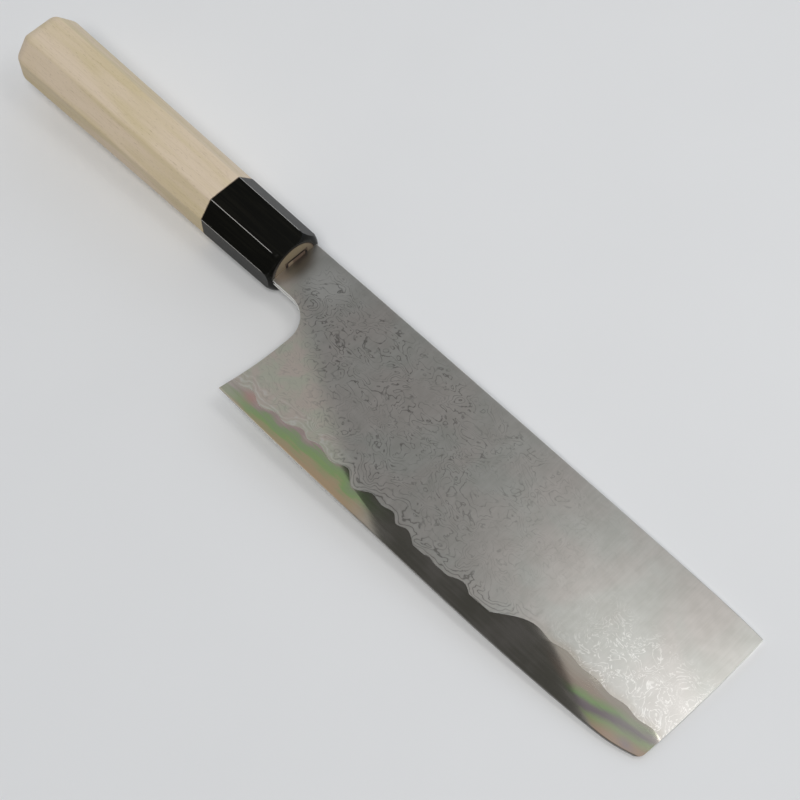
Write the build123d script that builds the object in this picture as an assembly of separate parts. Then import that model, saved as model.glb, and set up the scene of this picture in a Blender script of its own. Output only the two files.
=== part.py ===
from build123d import *
import os
from math import asin, cos, degrees, hypot, radians, sin, tan

# A nakiri: a straight-edged vegetable knife with a laminated blade and an octagonal wooden handle.
# Lengths are millimetres. X runs from the butt to the tip, Y from the edge to the spine, and Z out of the
# right face. X is zero at the blade's shoulder, and Y and Z are zero on the handle's axis. The finished
# pieces are moved together at the end, so that the origin is the middle of the underside.

# The blade's outline, seen from the side.
edge_length = 165.8
heel_setback = 16.1
edge_below_axis = 46.7
spine_above_axis = 9.6
neck_below_axis = 9.2

# The edge lifts a little at the heel, more along the belly, and sweeps up before the front corner.
flat_centre_from_heel = 46.5
heel_lift = 0.65
belly_lift = 3.3
sweep_length = 13.7
sweep_lift = 1.8
heel_lift_power = 4
belly_lift_power = 4

# The spine falls slowly along the blade, and quickly in its last stretch.
spine_fall = 1.05
spine_end_fall = 0.8
spine_end_power = 20

# The front end is a shallow arc that leans back towards the edge, with a rounded corner below.
front_lean = 1.15
front_bulge = 0.6
front_corner_radius = 3.0
front_corner_above_edge = 7.2
front_corner_turn = 45.0

# The heel's back is hollowed, and a round choil leads it into the neck.
choil_radius = 10.4
heel_undercut = 2.8

# The grind: thickness at the spine, behind the edge and at the sharpened bevel.
spine_thickness = 3.0
front_spine_thickness = 1.8
spine_ease = 0.3
bevel_height = 0.55
bevel_thickness = 0.24

# The laminate: a thin hard core, which the grind lays bare below a wavy line.
core_thickness = 0.6
core_band_height = 13.3

# The tang.
tang_length = 95.0
tang_height = 8.0
tang_end_height = 5.0
tang_thickness = 2.4
tang_end_thickness = 2.0
tang_above_axis = 1.0
tang_end_radius = 1.5

# The handle: one tapered octagon, shaped with the ferrule glued on.
handle_length = 125.7
ferrule_length = 31.0
butt_height = 24.3
butt_width = 22.4
facet_leg_y = 5.6
facet_leg_z = 6.9
facet_taper = 0.72
butt_radius = 6.0
wood_arris_radius = 1.6
horn_arris_radius = 0.3

# The ferrule's round nose and its bore, the wooden tenon in it, and the tang's slot.
nose_rim_radius = 9.3
nose_length = 3.4
bore_radius = 8.45
glue_gap = 0.05
slot_clearance = 0.1
slot_spare_length = 3.0
mouth_height = 8.8
mouth_width = 7.6
mouth_depth = 15.0
mouth_corner_radius = 1.8

overrun = 4.0

heel_x = heel_setback
corner_x = heel_setback + edge_length
front_x = corner_x + front_lean
flat_centre_x = heel_x + flat_centre_from_heel
junction_x = -ferrule_length
butt_x = -handle_length
station_shares = (0.0, 0.09, 0.22, 0.43, 0.62, 0.76, 0.86, 0.91, 0.94, 0.97, 1.0, 1.02)
flank_shares = ((0.18, 0.36), (0.42, 0.62), (0.70, 0.83))

# Crests and troughs of the wavy line: shares of the edge's length from the heel, and of the band's height
# above the lowest line of the edge.
wave_shares = (
    (-0.06, 0.47), (-0.01, 0.50), (0.03, 0.45), (0.05, 0.53), (0.08, 0.39), (0.11, 0.52), (0.14, 0.50),
    (0.175, 0.66), (0.19, 0.58), (0.21, 0.66), (0.255, 0.57), (0.285, 0.71), (0.315, 0.45), (0.35, 0.66),
    (0.38, 0.62), (0.405, 0.67), (0.42, 0.53), (0.44, 0.60), (0.485, 0.38), (0.505, 0.48), (0.53, 0.40),
    (0.585, 0.59), (0.615, 0.40), (0.67, 0.68), (0.73, 0.98), (0.76, 0.94), (0.79, 1.02), (0.825, 0.97),
    (0.86, 1.01), (0.89, 0.96), (0.925, 1.02), (0.95, 0.97), (0.98, 1.03), (1.01, 0.95), (1.05, 0.99),
)


def spine_y(x):
    share = x / front_x
    return spine_above_axis - spine_fall * share**2 - spine_end_fall * share**spine_end_power


def edge_y(x):
    behind = max(flat_centre_x - x, 0) / flat_centre_from_heel
    ahead = max(x - flat_centre_x, 0) / (corner_x - flat_centre_x)
    sweep = max(x - corner_x + sweep_length, 0) / sweep_length
    lift = heel_lift * min(behind, 1) ** heel_lift_power + belly_lift * ahead**belly_lift_power
    return lift + sweep_lift * sweep**2 - edge_below_axis


def blade_section(x):
    """One slice across the blade: sharpened bevels, convex flanks and a flat spine with eased edges."""
    low = edge_y(x)
    high = spine_y(x)
    height = high - low
    half_spine = (spine_thickness + (front_spine_thickness - spine_thickness) * x / front_x) / 2

    def side(sign):
        bevel = (x, low + bevel_height, sign * bevel_thickness / 2)
        flank = [(x, low + rise * height, sign * out * half_spine) for rise, out in flank_shares]
        shoulder = (x, high - spine_ease, sign * half_spine)
        top = (x, high, sign * (half_spine - spine_ease))
        return bevel, flank, shoulder, top

    edge = (x, low, 0)
    right_bevel, right_flank, right_shoulder, right_top = side(1)
    left_bevel, left_flank, left_shoulder, left_top = side(-1)
    lines = [
        Line(edge, right_bevel),
        Spline(right_bevel, *right_flank, right_shoulder),
        Line(right_shoulder, right_top),
        Line(right_top, left_top),
        Line(left_top, left_shoulder),
        Spline(left_shoulder, *reversed(left_flank), left_bevel),
        Line(left_bevel, edge),
    ]
    return Face(Wire(lines))


def blade_outline():
    """The side view without the edge and the spine, which the sections give: choil, heel and front end."""
    choil_end = (heel_x + heel_undercut, -neck_below_axis - choil_radius)
    heel_drop = edge_below_axis - heel_lift - neck_below_axis - choil_radius
    heel_radius = (heel_drop**2 + heel_undercut**2) / (2 * heel_undercut)
    heel_sweep = degrees(asin((heel_drop + overrun) / heel_radius))
    heel_back = JernArc(choil_end, (0, -1), heel_radius, -heel_sweep)
    choil = JernArc(choil_end, (0, 1), choil_radius, 90)
    neck_end = (-overrun, -neck_below_axis)

    top_corner = (front_x, spine_y(front_x))
    above = (front_x, spine_above_axis + overrun)
    low_corner = (corner_x, front_corner_above_edge - edge_below_axis)
    front = SagittaArc(low_corner, top_corner, -front_bulge)
    corner = JernArc(low_corner, -(front % 0), front_corner_radius, -front_corner_turn)
    run_out = corner @ 1 + (corner % 1) * 2 * overrun
    below = (run_out.X, -edge_below_axis - 2 * overrun)
    lines = [
        choil,
        heel_back,
        Line(choil @ 1, neck_end),
        Line(neck_end, (-overrun, spine_above_axis + overrun)),
        Line((-overrun, spine_above_axis + overrun), above),
        Line(above, top_corner),
        front,
        corner,
        Line(corner @ 1, run_out),
        Line(run_out, below),
        Line(below, ((heel_back @ 1).X, below[1])),
        Line(((heel_back @ 1).X, below[1]), heel_back @ 1),
    ]
    return make_face(Wire(lines))


def slab(low_x, high_x, height, thickness):
    """An upright block along the handle's axis."""
    return Pos((low_x + high_x) / 2, 0, 0) * Box(high_x - low_x, height, thickness)


def tang_bar(length, clearance=0):
    """The tapered bar behind the shoulder. The slot has the same form, with its clearance all round."""
    across = Plane(origin=(0, tang_above_axis, 0), x_dir=(0, 1, 0), z_dir=(-1, 0, 0))
    root = Rectangle(tang_height + 2 * clearance, tang_thickness + 2 * clearance)
    end = Rectangle(tang_end_height + 2 * clearance, tang_end_thickness + 2 * clearance)
    bar = loft([across * root, across.offset(length) * end])
    corners = bar.faces().sort_by(Axis.X)[0].edges().filter_by(Axis.Z)
    return fillet(corners, tang_end_radius)


def blade_blank():
    """The forged and ground blade with its tang, before it is told apart into its layers."""
    sections = [blade_section(share * front_x) for share in station_shares]
    ground = loft(sections)
    return (ground & extrude(blade_outline(), spine_thickness, both=True)) + tang_bar(tang_length)


def core_zone():
    """The middle layer, and everything below the wavy line."""
    wave = [
        (heel_x + along * edge_length, up * core_band_height - edge_below_axis) for along, up in wave_shares
    ]
    first = (wave[0][0], -edge_below_axis - overrun)
    last = (wave[-1][0], -edge_below_axis - overrun)
    line = Spline(*wave)
    band = make_face(Wire([line, Line(wave[-1], last), Line(last, first), Line(first, wave[0])]))
    height = 2 * (edge_below_axis + overrun)
    middle = slab(-tang_length - overrun, front_x + overrun, height, core_thickness)
    return middle + extrude(band, spine_thickness, both=True)


def handle_octagon():
    """The whole handle's tapered octagon, from the butt to the ferrule's front, planed flat by flat."""
    half_height = butt_height / 2
    half_width = butt_width / 2
    facet = hypot(facet_leg_y, facet_leg_z)
    to_y = facet_leg_z / facet
    to_z = facet_leg_y / facet
    facet_reach = half_height * to_y + (half_width - facet_leg_z) * to_z
    flats = [
        (1, 0, half_height), (-1, 0, half_height), (0, 1, half_width), (0, -1, half_width),
        (to_y, to_z, facet_reach), (to_y, -to_z, facet_reach),
        (-to_y, to_z, facet_reach), (-to_y, -to_z, facet_reach),
    ]
    lean = radians(facet_taper)
    bar = slab(butt_x, 0, 2 * butt_height, 2 * butt_width)
    for out_y, out_z, reach in flats:
        outwards = (sin(lean), cos(lean) * out_y, cos(lean) * out_z)
        flat = Plane(origin=(butt_x, out_y * reach, out_z * reach), z_dir=outwards)
        bar = split(bar, bisect_by=flat, keep=Keep.BOTTOM)
    return bar


def arrises(piece):
    return piece.edges().filter_by(lambda edge: abs((edge % 0.5).X) > 0.9)


def rod(low_x, high_x, radius):
    """A round bar along the handle's axis."""
    return Pos((low_x + high_x) / 2, 0, 0) * Rot(0, 90, 0) * Cylinder(radius, high_x - low_x)


def nose_envelope():
    """What a lathe leaves of the ferrule: its full size, closing to the round rim at the front."""
    shrink = handle_length * tan(radians(facet_taper))
    corner_radius = hypot(butt_height / 2 - shrink, butt_width / 2 - facet_leg_z)
    nose_start = (-nose_length, corner_radius)
    far = junction_x - overrun
    nose_rise = corner_radius - nose_rim_radius
    nose = EllipticalCenterArc((-nose_length, nose_rim_radius), nose_length, nose_rise, arc_size=90)
    full_radius = hypot(butt_height, butt_width)
    outline = Wire([
        Line((far, 0), (far, full_radius)),
        Line((far, full_radius), (-nose_length, full_radius)),
        Line((-nose_length, full_radius), nose_start),
        nose,
        Line((0, nose_rim_radius), (0, 0)),
        Line((0, 0), (far, 0)),
    ])
    return revolve(make_face(outline), Axis.X)


def mouth_block():
    """The wide mouth of the slot, which the filling takes up around the tang."""
    across = Plane(origin=(-mouth_depth, tang_above_axis, 0), x_dir=(0, 1, 0), z_dir=(1, 0, 0))
    mouth = RectangleRounded(mouth_height, mouth_width, mouth_corner_radius)
    return extrude(across * mouth, mouth_depth)


def horn_ferrule(octagon):
    front = octagon & slab(junction_x, 0, 2 * butt_height, 2 * butt_width)
    eased = fillet(arrises(front), horn_arris_radius)
    return (eased & nose_envelope()) - rod(junction_x - overrun, overrun, bore_radius)


def handle_body(octagon):
    wood = octagon & slab(butt_x, junction_x, 2 * butt_height, 2 * butt_width)
    wood = fillet(arrises(wood), wood_arris_radius)
    wood = fillet(wood.faces().sort_by(Axis.X)[0].edges(), butt_radius)
    tenon = rod(junction_x, 0, bore_radius - glue_gap)
    slot = tang_bar(tang_length + slot_spare_length, slot_clearance)
    return wood + tenon - slot - mouth_block()


blank = blade_blank()
core = core_zone()
cladding = (blank - core).solids().sort_by(Axis.Z)
octagon = handle_octagon()

pieces = {
    "blade_core": blank & core,
    "cladding_right": cladding[-1],
    "cladding_left": cladding[0],
    "horn_ferrule": horn_ferrule(octagon),
    "handle_body": handle_body(octagon),
    "tang_bedding": mouth_block() - blank,
}

# The knife lies on its side, and its origin is the middle of the underside of its box.
box = Compound(children=[Compound(piece.solids()) for piece in pieces.values()]).bounding_box()
resting_place = Pos(-box.center().X, -box.center().Y, -box.min.Z)

os.makedirs("parts", exist_ok=True)
for name, piece in pieces.items():
    export_step(resting_place * piece, f"parts/{name}.step")
    print(name, len(piece.solids()), "solid, volume", round(piece.volume))
print("shoulder at", resting_place.position, "size", box.size)
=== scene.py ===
from math import pi, radians

import bmesh
import bpy
from mathutils import Matrix, Vector


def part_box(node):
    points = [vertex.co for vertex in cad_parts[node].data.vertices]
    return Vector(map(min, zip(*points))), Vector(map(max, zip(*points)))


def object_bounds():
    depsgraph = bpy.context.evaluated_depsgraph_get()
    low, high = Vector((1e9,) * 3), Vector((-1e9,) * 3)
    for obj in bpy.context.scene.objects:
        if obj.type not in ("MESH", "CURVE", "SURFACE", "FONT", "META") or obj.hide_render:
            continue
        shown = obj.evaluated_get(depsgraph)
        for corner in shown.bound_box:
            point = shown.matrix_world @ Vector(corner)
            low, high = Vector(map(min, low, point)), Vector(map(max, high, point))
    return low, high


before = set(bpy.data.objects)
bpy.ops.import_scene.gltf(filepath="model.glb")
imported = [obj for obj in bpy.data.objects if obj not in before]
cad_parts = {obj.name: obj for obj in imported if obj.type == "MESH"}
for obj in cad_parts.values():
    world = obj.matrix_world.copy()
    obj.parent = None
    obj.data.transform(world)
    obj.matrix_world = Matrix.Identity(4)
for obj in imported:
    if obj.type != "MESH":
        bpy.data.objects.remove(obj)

solid_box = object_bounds()

# The blade's core is one layer of hard steel, which lies bare along the edge and is polished there. Fine
# stones leave faint clouds of colour on it, green and rose and orange by the edge, and feather its border
# near the front. A narrow bevel, ground brighter than the rest, makes the cutting edge.
ferrule_low, ferrule_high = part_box("horn_ferrule")
shoulder = (ferrule_low + ferrule_high) / 2
shoulder.x = ferrule_high.x
millimetres = 1000
endless = 1e6
heel_end = 19.0
rose_middle = (25.5, -41.5, 0.0)
violet_middle = (176.5, -41.5, 0.0)
# The streak is a painted reflection: a dark violet band that slants across the core near its front.
reflection_streak_middle = 158.0
reflection_streak_height = -41.5
reflection_streak_slope = 0.295
reflection_streak_width = 10.0
border_slope = 0.275
dull_steel = (0.40, 0.385, 0.33, 1)
clear_steel = (0.56, 0.53, 0.485, 1)
rose_steel = (0.52, 0.33, 0.30, 1)
violet_steel = (0.33, 0.28, 0.36, 1)
silver_steel = (0.75, 0.75, 0.70, 1)
feathered_steel = (0.55, 0.52, 0.46, 1)
bevel_steel = (0.80, 0.79, 0.76, 1)


class Wire:
    """A socket of a finish's nodes. Sums with wires are written as sums with numbers are."""

    def __init__(self, socket):
        self.socket = socket

    def node(self, kind, settings, values, out=0):
        """Adds a node, and returns the wire that leaves it."""
        made = self.socket.id_data.nodes.new(kind)
        for name, value in settings.items():
            if name == "stops":
                set_stops(made, value)
            else:
                setattr(made, name, value)
        feed(made, values)
        return Wire(made.outputs[out])

    def maths(self, operation, first, second):
        return self.node("ShaderNodeMath", {"operation": operation}, {0: first, 1: second})

    def __add__(self, other):
        return self.maths("ADD", self, other)

    def __sub__(self, other):
        if isinstance(other, tuple):
            return self.node("ShaderNodeVectorMath", {"operation": "SUBTRACT"}, {0: self, 1: other})
        return self.maths("SUBTRACT", self, other)

    def __rsub__(self, other):
        return self.maths("SUBTRACT", other, self)

    def __mul__(self, other):
        return self.maths("MULTIPLY", self, other)

    def __truediv__(self, other):
        return self.maths("DIVIDE", self, other)

    def __pow__(self, other):
        return self.maths("POWER", self, other)

    def __rpow__(self, other):
        return self.maths("POWER", other, self)

    def __mod__(self, other):
        return self.maths("FLOORED_MODULO", self, other)

    def __abs__(self):
        return self.maths("ABSOLUTE", self, 0)

    __radd__ = __add__
    __rmul__ = __mul__

    def at_least(self, other):
        return self.maths("MAXIMUM", self, other)

    def at_most(self, other):
        return self.maths("MINIMUM", self, other)

    def rise(self, low, high):
        """0 up to one value and 1 from the other on, with a soft step between them."""
        settings = {"interpolation_type": "SMOOTHSTEP"}
        return self.node("ShaderNodeMapRange", settings, {0: self, 1: low, 2: high})

    def hill(self, foot, top, brow, end):
        """1 from the top to the brow, with a soft step up to it from the foot and one down to the end."""
        return self.rise(foot, top) * (1 - self.rise(brow, end))

    def contours(self):
        """1 where this value is a whole number, down to 0 halfway between two of them."""
        return abs(self % 1.0 - 0.5) * 2

    def tint(self, low, high):
        """A mix of two colours, by this share."""
        return self.node("ShaderNodeMix", {"data_type": "RGBA"}, {0: self, 6: low, 7: high}, 2)

    def ramp(self, *stops):
        """A colour for this share, from stops that each have a share and a colour."""
        return self.node("ShaderNodeValToRGB", {"stops": stops}, {"Fac": self})

    def stretch(self, x, y, z):
        """This place, for patterns that are drawn out by so many millimetres in each direction."""
        shrunk = (1 / x, 1 / y, 1 / z)
        return self.node("ShaderNodeVectorMath", {"operation": "MULTIPLY"}, {0: self, 1: shrunk})

    def spread(self, x, y):
        """How far this place is from the middle of an oval with those half axes: 1 on its rim."""
        flat = self.stretch(x, y, endless)
        return flat.node("ShaderNodeVectorMath", {"operation": "LENGTH"}, {0: flat}, "Value")

    def clouds(self, size=1.0, detail=2.0, swirl=0.0):
        """Soft noise from 0 to 1, whose clouds are about that wide."""
        values = {"Vector": self, "Scale": 1 / size, "Detail": detail, "Distortion": swirl}
        return self.node("ShaderNodeTexNoise", {}, values)

    def relief(self, depth):
        """The surface's normal where this height, from 0 to 1, stands out by that many millimetres."""
        return self.node("ShaderNodeBump", {}, {"Distance": depth / millimetres, "Height": self})

    def line_height(self, line):
        """How high a line of the blade lies at this distance along it."""
        first = line[0][0]
        length = line[-1][0] - first
        low = min(y for x, y in line)
        height = max(y for x, y in line) - low
        stops = [((x - first) / length, (y - low) / height) for x, y in line]
        share = (self - first) / length
        return self.node("ShaderNodeFloatCurve", {"stops": stops}, {"Value": share}) * height + low


def feed(node, values):
    """Gives a node's sockets their numbers and colours, or joins them to wires."""
    for name, value in values.items():
        if isinstance(value, Wire):
            node.id_data.links.new(value.socket, node.inputs[name])
        else:
            node.inputs[name].default_value = value


def set_stops(node, stops):
    """Puts the stops of a colour ramp or a curve in place, from the first to the last."""
    if node.bl_idname == "ShaderNodeFloatCurve":
        points = node.mapping.curves[0].points
        points[0].location = stops[0]
        points[1].location = stops[-1]
        for stop in stops[1:-1]:
            points.new(*stop)
        node.mapping.extend = "HORIZONTAL"
        node.mapping.update()
    else:
        elements = node.color_ramp.elements
        elements[0].position, elements[0].color = stops[0]
        elements[1].position, elements[1].color = stops[-1]
        for place, colour in stops[1:-1]:
            elements.new(place).color = colour


def start_finish(name):
    """A new finish: the material, its shader, and the surface's place in millimetres from the shoulder."""
    material = bpy.data.materials.new(name)
    material.use_nodes = True
    shader = material.node_tree.nodes["Principled BSDF"]
    place = Wire(shader.outputs[0]).node("ShaderNodeTexCoord", {}, {}, "Object")
    values = {"Vector": place, "Location": -shoulder * millimetres, "Scale": (millimetres,) * 3}
    return material, shader, place.node("ShaderNodeMapping", {}, values)


def parts_of(vector):
    """The parts of a place or a direction: along the knife, up to the spine, and out of the right face."""
    split = vector.node("ShaderNodeSeparateXYZ", {}, {"Vector": vector})
    return [Wire(part) for part in split.socket.node.outputs]


def corners_of(*nodes):
    """All corner points of the meshes of those nodes, in metres."""
    return [vertex.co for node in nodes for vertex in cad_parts[node].data.vertices]


def lowest_line(node, depth, ceiling):
    """A blade piece's lowest points at that depth and below the ceiling, one for each millimetre."""
    closeness = 0.02
    lowest = {}
    for corner in corners_of(node):
        x, y, z = (corner - shoulder) * millimetres
        if x > heel_end and y < ceiling and abs(z - depth) < closeness:
            lowest[round(x)] = min((y, x), lowest.get(round(x), (y, x)))
    return sorted((x, y) for y, x in lowest.values())


cladding_depth = (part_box("cladding_right")[0].z - shoulder.z) * millimetres
edge_line = lowest_line("blade_core", depth=0.0, ceiling=-40.0)
wavy_line = lowest_line("cladding_right", depth=cladding_depth, ceiling=-30.0)

core_finish, core_shader, place = start_finish("core_steel")
along, up = parts_of(place)[:2]
edge_height = along.line_height(edge_line)
above_edge = up - edge_height
bare_share = above_edge / (along.line_height(wavy_line) - edge_height)
drift = place.clouds(9.0, detail=3.0, swirl=0.4) - 0.5
strokes = place.stretch(14.0, 0.9, 14.0).clouds() - 0.5
heel_share = bare_share + drift * 0.5 + strokes * 0.5 - along.rise(30.0, 58.0) * 0.32 + 0.12
heel_colours = heel_share.ramp(
    (0.0, (0.50, 0.38, 0.25, 1)),
    (0.2, (0.45, 0.39, 0.25, 1)),
    (0.42, (0.305, 0.425, 0.195, 1)),
    (0.68, (0.31, 0.395, 0.235, 1)),
    (0.88, (0.43, 0.34, 0.33, 1)),
    (1.0, (0.47, 0.41, 0.37, 1)),
)
# Painted reflection: the front colours hold a dark violet band along a slanted line, standing in for a dark
# reflection in the polished core; the green and tan around it are the steel's own colours.
reflection_streak = (along - reflection_streak_middle) * reflection_streak_slope
from_reflection_streak = up - reflection_streak_height - reflection_streak + drift * 2.5 + strokes * 1.5
front_colours_and_reflection = (from_reflection_streak / reflection_streak_width + 0.5).ramp(
    (0.0, (0.50, 0.36, 0.26, 1)),
    (0.24, (0.36, 0.44, 0.24, 1)),
    (0.42, (0.28, 0.24, 0.26, 1)),
    (0.52, (0.30, 0.27, 0.27, 1)),
    (0.66, (0.33, 0.46, 0.24, 1)),
    (0.88, (0.46, 0.39, 0.33, 1)),
)
rose = 1 - ((place - rose_middle).spread(3.4, 2.6) + drift * 1.5).rise(0.0, 1.2)
violet = 1 - ((place - violet_middle).spread(3.6, 2.2) + drift * 1.5).rise(0.0, 1.3)
heel_reach = along.hill(8.0, 34.0, 68.0, 86.0)
front_reach = along.rise(138.0, 150.0) * (up + along * border_slope).rise(0.6, 2.6)
cloudiness = (place.clouds(14.0, detail=3.0) + strokes * 0.5).rise(0.3, 0.75)
plain_steel = cloudiness.tint(dull_steel, clear_steel)
stone_colours = along.rise(100.0, 110.0).tint(heel_colours, front_colours_and_reflection)
coloured = (heel_reach + front_reach).tint(plain_steel, stone_colours)
blushed = (rose * 0.75).tint(coloured, rose_steel)
spotted = (violet * 0.6).tint(blushed, violet_steel)
shining_end = (along.rise(163.0, 174.0) * 0.22).tint(spotted, silver_steel)
feathering = (bare_share + strokes * 0.35).rise(0.6, 1.0) * along.rise(134.0, 150.0)
polished = (feathering * 0.75).tint(shining_end, feathered_steel)
bevel = 1 - above_edge.rise(0.2, 0.5)
fine_scratches = place.stretch(9.0, 0.12, 9.0).clouds()
dullness = fine_scratches * 0.02 + place.clouds(3.0) * 0.015
feed(
    core_shader,
    {
        "Base Color": bevel.tint(polished, bevel_steel),
        "Metallic": 1.0,
        "Roughness": dullness + bevel * 0.16 + 0.03 - feathering * 0.02,
    },
)
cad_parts["blade_core"].material_slots[0].material = core_finish

# The cladding is soft steel, forged from many thin layers on both faces of the core. Grinding and etching
# lay the layers bare as fine dark contour lines, which follow the core's wavy line and then wander over the
# face, and near the front as bright curls.
lines_at_core = 4.5
left_each_millimetre = 0.85
haze_slope = 0.55
painted_highlight_middle = (14.0, 2.0, 0.0)
painted_highlight_white = (0.85, 0.84, 0.81, 1)
painted_reflection_brown = (0.17, 0.14, 0.11, 1)
green_sheen = (0.73, 0.735, 0.61, 1)
rosy_sheen = (0.80, 0.71, 0.63, 1)
feathered_layer = (0.40, 0.36, 0.31, 1)
painted_highlight_silver = (0.74, 0.735, 0.71, 1)
bright_line = (0.95, 0.94, 0.91, 1)
etched_line = (0.14, 0.13, 0.12, 1)
painted_wall_highlight = (0.85, 0.85, 0.83, 1)


def levelness(place):
    """1 where the surface faces straight up or down, and 0 where it is upright."""
    normal = place.node("ShaderNodeNewGeometry", {}, {}, "Normal")
    return abs(parts_of(normal)[2])


clad_finish, clad_shader, place = start_finish("layered_steel")
along, up = parts_of(place)[:2]
above = up - along.line_height(wavy_line)
loose = above.rise(-2.0, 7.0) * 0.8 + 0.2
swell = place.stretch(1.6, 1.0, 1.0).clouds(8.0, swirl=0.8) - 0.5
ripple = place.stretch(1.3, 1.0, 1.0).clouds(3.2, swirl=0.8) - 0.5
crowding = lines_at_core * left_each_millimetre**above
layers = above * 0.05 - crowding + (swell * 13.0 + ripple * 3.0) * loose
crest = layers.contours()
dashes = place.clouds(2.6).rise(0.3, 0.56) * 0.65 + 0.35
clusters = place.stretch(1.4, 1.0, 1.0).clouds(9.0, detail=3.0).rise(0.3, 0.56) * 0.85 + 0.15
near_core = 1 - above.rise(2.5, 7.0)
core_lines = near_core * along.hill(46.0, 62.0, 120.0, 140.0)
heel_haze_and_sheen = 1 - (up + along * haze_slope).rise(-9.0, 2.0)
dark_reach = along.hill(5.0, 12.0, 62.0, 155.0) * (1 - up.rise(4.0, 9.0))
etched_reach = core_lines.at_least(clusters * dashes * dark_reach)
etched = crest.rise(0.68, 0.97) * etched_reach * (1 - heel_haze_and_sheen * 0.75)
curls = (place.clouds(6.5, detail=3.0, swirl=1.9) * 7.0).contours()
curl_reach = along.rise(132.0, 162.0) * (1 - up.rise(-19.0, -8.0)) * place.clouds(7.0).rise(0.32, 0.5)
front_curls = curls.rise(0.7, 0.96) * curl_reach
core_rims = (1 - crest).rise(0.55, 0.95) * near_core * dashes * (heel_haze_and_sheen * 0.42 + 0.06)
# Painted highlight: the front of the face, below the spine, is lifted towards pale silver where the lamp
# shines on it.
painted_front_highlight = along.rise(145.0, 172.0) * (1 - up.rise(-22.0, -8.0))
# The hazy polish near the heel is real and softens the dark lines, but its paler green and rose colour is a
# painted sheen.
painted_sheen_cast = place.clouds(7.0, swirl=0.5).rise(0.35, 0.65).tint(green_sheen, rosy_sheen)
satin = place.stretch(0.7, 10.0, 10.0).clouds().rise(0.3, 0.7)
steel_tone = satin * 0.18 + place.clouds(3.0, detail=1.0).rise(0.3, 0.7) * 0.22 + place.clouds(8.0) * 0.6
cool_layer = steel_tone.tint((0.425, 0.425, 0.39, 1), (0.565, 0.565, 0.535, 1))
warm_layer = steel_tone.tint((0.44, 0.418, 0.387, 1), (0.588, 0.557, 0.526, 1))
plain_layer = place.clouds(20.0, swirl=0.5).rise(0.35, 0.68).tint(cool_layer, warm_layer)
# Painted highlight: a pale pool of light on the neck, a little in front of the ferrule.
painted_neck_highlight = 1 - (place - painted_highlight_middle).spread(11.0, 10.0).rise(0.3, 1.0)
with_painted_highlight = (painted_neck_highlight * 0.35).tint(plain_layer, painted_highlight_white)
# Painted reflection: a dark brown arc on the neck beside the ferrule, where the polished steel mirrors the
# dark horn and disc.
painted_neck_reflection = 1 - place.spread(8.5, 11.0).rise(0.35, 0.95)
with_painted_reflection = (painted_neck_reflection * 0.75).tint(with_painted_highlight, painted_reflection_brown)
hazed_and_sheened = (heel_haze_and_sheen * 0.9).tint(with_painted_reflection, painted_sheen_cast)
front_border = (1 - above.rise(0.0, 3.0)) * along.rise(130.0, 146.0)
feathered = (front_border * 0.8).tint(hazed_and_sheened, feathered_layer)
with_front_highlight = (painted_front_highlight * 0.3).tint(feathered, painted_highlight_silver)
bright_lined = (core_rims + front_curls * 0.5).tint(with_front_highlight, bright_line)
dark_lined = (etched * 0.72).tint(bright_lined, etched_line)
# Painted highlight: the upright walls are painted near white, standing in for the bright line that light
# draws along the choil and neck.
wall = 1 - levelness(place).rise(0.3, 0.8)
feed(
    clad_shader,
    {
        "Base Color": wall.tint(dark_lined, painted_wall_highlight),
        "Metallic": 1.0,
        "Roughness": satin * 0.02 + etched * 0.04 + wall * 0.2 + 0.278,
        "Normal": (1 - etched).relief(0.002),
    },
)
for side in ("cladding_right", "cladding_left"):
    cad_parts[side].material_slots[0].material = clad_finish

# The filling holds the tang in the wide mouth of its slot. It is dull brown, with a paler patch beside the
# tang, and its seam against the wooden disc has gone dark.
filling_low, filling_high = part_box("tang_bedding")
filling_middle = ((filling_low + filling_high) / 2 - shoulder) * millimetres
filling_half = (filling_high - filling_low) / 2 * millimetres
patch_middle = (0.0, -1.4, 3.3)
patch_half_height = 1.1
pale_filling = (0.34, 0.27, 0.18, 1)
seam_black = (0.006, 0.004, 0.003, 1)


def depth_in_mouth(place):
    """How many millimetres a place lies inside the slot's mouth: less than 0 in the wood around it."""
    up, out = parts_of(place)[1:]
    to_end = filling_half.y - abs(up - filling_middle.y)
    to_side = filling_half.z - abs(out - filling_middle.z)
    return to_end.at_most(to_side)


filling_finish, filling_shader, place = start_finish("slot_filling")
seam = 1 - depth_in_mouth(place).rise(0.5, 1.0)
crumbs = place.clouds(0.7, detail=3.0)
pale_patch = 1 - (place - patch_middle).spread(endless, patch_half_height).rise(0.5, 1.2)
dull_filling = crumbs.tint((0.10, 0.065, 0.045, 1), (0.20, 0.14, 0.10, 1))
patched = (pale_patch * 0.6).tint(dull_filling, pale_filling)
feed(
    filling_shader,
    {
        "Base Color": seam.tint(patched, seam_black),
        "Roughness": crumbs * 0.2 + 0.7,
        "Specular IOR Level": 0.2,
        "Normal": crumbs.relief(0.06),
    },
)
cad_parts["tang_bedding"].material_slots[0].material = filling_finish

# The ferrule is one piece of black buffalo horn, glued on the tenon, planed with the handle and polished.
# Horn grows in threads, which show as dark olive streaks along it, and its polish has fine scratches.
painted_arris_highlight = (0.60, 0.59, 0.55, 1)
horn_finish, horn_shader, place = start_finish("buffalo_horn")
along = parts_of(place)[0]
threads = place.stretch(22.0, 1.1, 1.1).clouds(detail=4.0, swirl=0.6).rise(0.4, 0.75)
scratches = place.stretch(5.0, 0.12, 0.12).clouds()
level = levelness(place)
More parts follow.
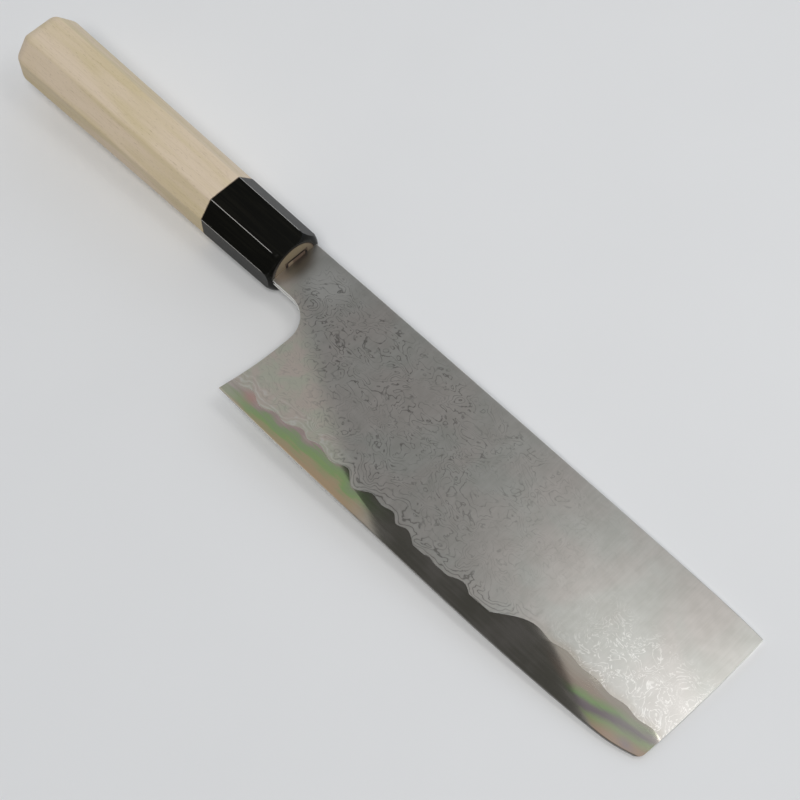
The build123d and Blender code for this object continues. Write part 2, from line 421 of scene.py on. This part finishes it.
# Painted highlight: thin pale lines along the arrises, where the polished horn catches the light.
side_arris = level.hill(0.66, 0.74, 0.94, 0.995)
edge_arris = level.hill(0.03, 0.12, 0.52, 0.61)
planed = 1 - along.rise(-4.0, -2.6)
arris_highlight_mask = (side_arris + edge_arris) * planed
black_horn = threads.tint((0.0045, 0.0045, 0.0036, 1), (0.0085, 0.0082, 0.006, 1))
feed(
    horn_shader,
    {
        "Base Color": (arris_highlight_mask * 0.9).tint(black_horn, painted_arris_highlight),
        "Roughness": scratches * 0.1 + place.clouds(6.0) * 0.06 + 0.12,
        "Specular IOR Level": 0.09,
        "Normal": scratches.relief(0.002),
    },
)
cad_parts["horn_ferrule"].material_slots[0].material = horn_finish

# The handle is magnolia, pale and bare of lacquer, planed to eight flats. Its years lie as faint bands
# along it and as arcs on its ends, and its pores as short fine dashes. Glue and dust have gone dark in the
# joints.
pith_up = -60.0
pith_out = 35.0
year_width = 2.6
tenon_radius = 8.35
ferrule_back = (ferrule_low.x - shoulder.x) * millimetres
late_wood = (0.48, 0.37, 0.21, 1)
pore_brown = (0.30, 0.21, 0.11, 1)
joint_brown = (0.06, 0.03, 0.015, 1)


def from_line(up, out):
    """How far a place is from a line along the knife, by how far it is above the line and beside it."""
    return (up * up + out * out) ** 0.5


wood_finish, wood_shader, place = start_finish("magnolia_wood")
along, up, out = parts_of(place)
wander = place.stretch(70.0, 9.0, 9.0).clouds() - 0.5
years = (from_line(up - pith_up, out - pith_out) / year_width + wander * 2.4).contours()
fibres = place.stretch(10.0, 0.3, 0.3).clouds(detail=3.0)
pores = place.stretch(1.8, 0.22, 0.22).clouds(detail=1.0).rise(0.62, 0.74)
bands = place.stretch(60.0, 5.0, 5.0).clouds(swirl=0.5).rise(0.32, 0.68)
pale_wood = bands.tint((0.63, 0.52, 0.325, 1), (0.70, 0.575, 0.43, 1))
grain = years.rise(0.7, 1.0) * 0.14 + fibres.rise(0.45, 0.8) * 0.25
porous = (pores * 0.35).tint(grain.tint(pale_wood, late_wood), pore_brown)
# The disc's end grain is darker wood; its further darkening towards the blade is painted shade.
shade_near_blade = 0.9 - abs(out).rise(1.5, 7.0) * 0.35
disc_wood_and_shade = shade_near_blade.tint((0.32, 0.25, 0.14, 1), (0.085, 0.06, 0.035, 1))
bare_wood = (along.rise(-3.0, -1.0) * 0.9).tint(porous, disc_wood_and_shade)
glue_width = place.clouds(0.8) * 0.5 + 0.1
glue_line = 1 - (abs(along - ferrule_back) / glue_width).rise(0.4, 1.0)
on_disc = along.rise(-1.0, -0.5)
mouth_rim = depth_in_mouth(place).rise(-0.4, -0.1) * on_disc
tenon_rim = from_line(up, out).rise(tenon_radius - 0.35, tenon_radius) * on_disc
joints = (glue_line + tenon_rim + mouth_rim) * 0.8
feed(
    wood_shader,
    {
        "Base Color": joints.tint(bare_wood, joint_brown),
        "Roughness": fibres * 0.2 + 0.55,
        "Normal": (fibres - pores * 0.6).relief(0.025),
    },
)
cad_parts["handle_body"].material_slots[0].material = wood_finish

# The knife lies on its side. It is heavy at the blade, so it rests on the ferrule's front and on the
# blade's front end, and the plain pale floor under it leans by as much as that is out of level.
floor_reach = 8.0
blade_end = solid_box[1].x - 1 / millimetres
end_corners = [corner for corner in corners_of("cladding_left") if corner.x > blade_end]
front_end = min(end_corners, key=lambda corner: corner.z)
resting = corners_of("horn_ferrule", "handle_body")
lean = max((front_end.z - corner.z) / (front_end.x - corner.x) for corner in resting)
floor_mesh = bmesh.new()
bmesh.ops.create_grid(floor_mesh, x_segments=2, y_segments=2, size=floor_reach)
for vertex in floor_mesh.verts:
    vertex.co.z = front_end.z + (vertex.co.x - front_end.x) * lean
floor_data = bpy.data.meshes.new("floor")
floor_mesh.to_mesh(floor_data)
floor_mesh.free()
floor = bpy.data.objects.new("floor", floor_data)
bpy.context.scene.collection.objects.link(floor)
floor_finish, floor_shader, place = start_finish("floor_paper")
feed(
    floor_shader,
    {
        "Base Color": place.clouds(60.0, detail=3.0).tint((0.78, 0.78, 0.775, 1), (0.81, 0.81, 0.805, 1)),
        "Roughness": place.clouds(2.0) * 0.1 + 0.75,
    },
)
floor_data.materials.append(floor_finish)

# Soft boxes hang over the blade with a dark gap between them, which the polished core mirrors. A small
# lamp shines on the blade's front half, a strip lights the bevel, and their sides run askew to the blade.
box_height = 600.0
askew = radians(-29.5)
less_askew = radians(-22.5)


def hang_box(name, x, y, glow, turn=askew):
    """A soft box over the blade, by its reach in millimetres from the shoulder, before it is turned."""
    light = bpy.data.lights.new(name, "AREA")
    light.shape = "RECTANGLE"
    light.size = (x[1] - x[0]) / millimetres
    light.size_y = (y[1] - y[0]) / millimetres
    light.energy = glow * pi * light.size * light.size_y
    box = bpy.data.objects.new(name, light)
    middle = Vector((sum(x) / 2, sum(y) / 2, box_height)) / millimetres
    box.rotation_euler.z = turn
    box.location = shoulder + Matrix.Rotation(turn, 3, "Z") @ middle
    box.visible_camera = False
    bpy.context.scene.collection.objects.link(box)


hang_box("panel_over_spine", x=(-5, 263), y=(161, 395), glow=2.8)
hang_box("lamp_over_front", x=(-87, -22), y=(137, 166), glow=8.4)
hang_box("screen_over_heel", x=(-424, -205), y=(33, 398), glow=0.25)
hang_box("screen_over_middle", x=(-205, -90), y=(115, 398), glow=0.25)
hang_box("box_over_heel", x=(-424, -105), y=(-75, 31), glow=0.44, turn=less_askew)
hang_box("box_over_front", x=(-66, 76), y=(117, 170), glow=0.46, turn=less_askew)
hang_box("strip_over_edge", x=(-200, 250), y=(-270, -190), glow=0.6)

# The room around the knife is pale blue low down on the spine's side, and dim grey overhead and on the
# edge's side. A wide soft sun stands high in front of the blade, towards the edge's side.
dim_grey = (0.118, 0.118, 0.118, 1)
pale_blue = (0.76, 0.82, 0.92, 1)
sky = bpy.data.worlds.new("studio")
sky.use_nodes = True
bpy.context.scene.world = sky
backdrop = sky.node_tree.nodes["Background"]
direction = Wire(backdrop.outputs[0]).node("ShaderNodeTexCoord", {}, {}, "Generated")
to_front, to_spine, to_top = parts_of(direction)
glow = (1 - to_top.rise(0.45, 0.8)) * (to_spine - to_front * 0.2).rise(-0.6, 0.5)
feed(backdrop, {"Color": glow.tint(dim_grey, pale_blue), "Strength": 1.0})

sun = bpy.data.lights.new("soft_sun", "SUN")
sun.energy = 1.6
sun.angle = radians(25)
sun_lamp = bpy.data.objects.new("soft_sun", sun)
sun_lamp.rotation_euler = (radians(20), radians(22), 0)
bpy.context.scene.collection.objects.link(sun_lamp)

# The camera looks down on the knife's right face, from beyond the blade's front and the edge. Its place,
# its turn and its lens were fitted to the photograph.
camera_place = Vector((0.220874, -0.1675, 0.488174))
camera_turn = (28.519, 1.144, 45.645)
camera_lens = 81.81
camera = bpy.data.objects.new("camera", bpy.data.cameras.new("camera"))
camera.data.lens = camera_lens
camera.data.sensor_width = 36.0
camera.data.clip_start = 0.01
camera.location = camera_place
camera.rotation_euler = [radians(angle) for angle in camera_turn]
bpy.context.scene.collection.objects.link(camera)
bpy.context.scene.camera = camera
bpy.context.scene.view_settings.view_transform = "Standard"
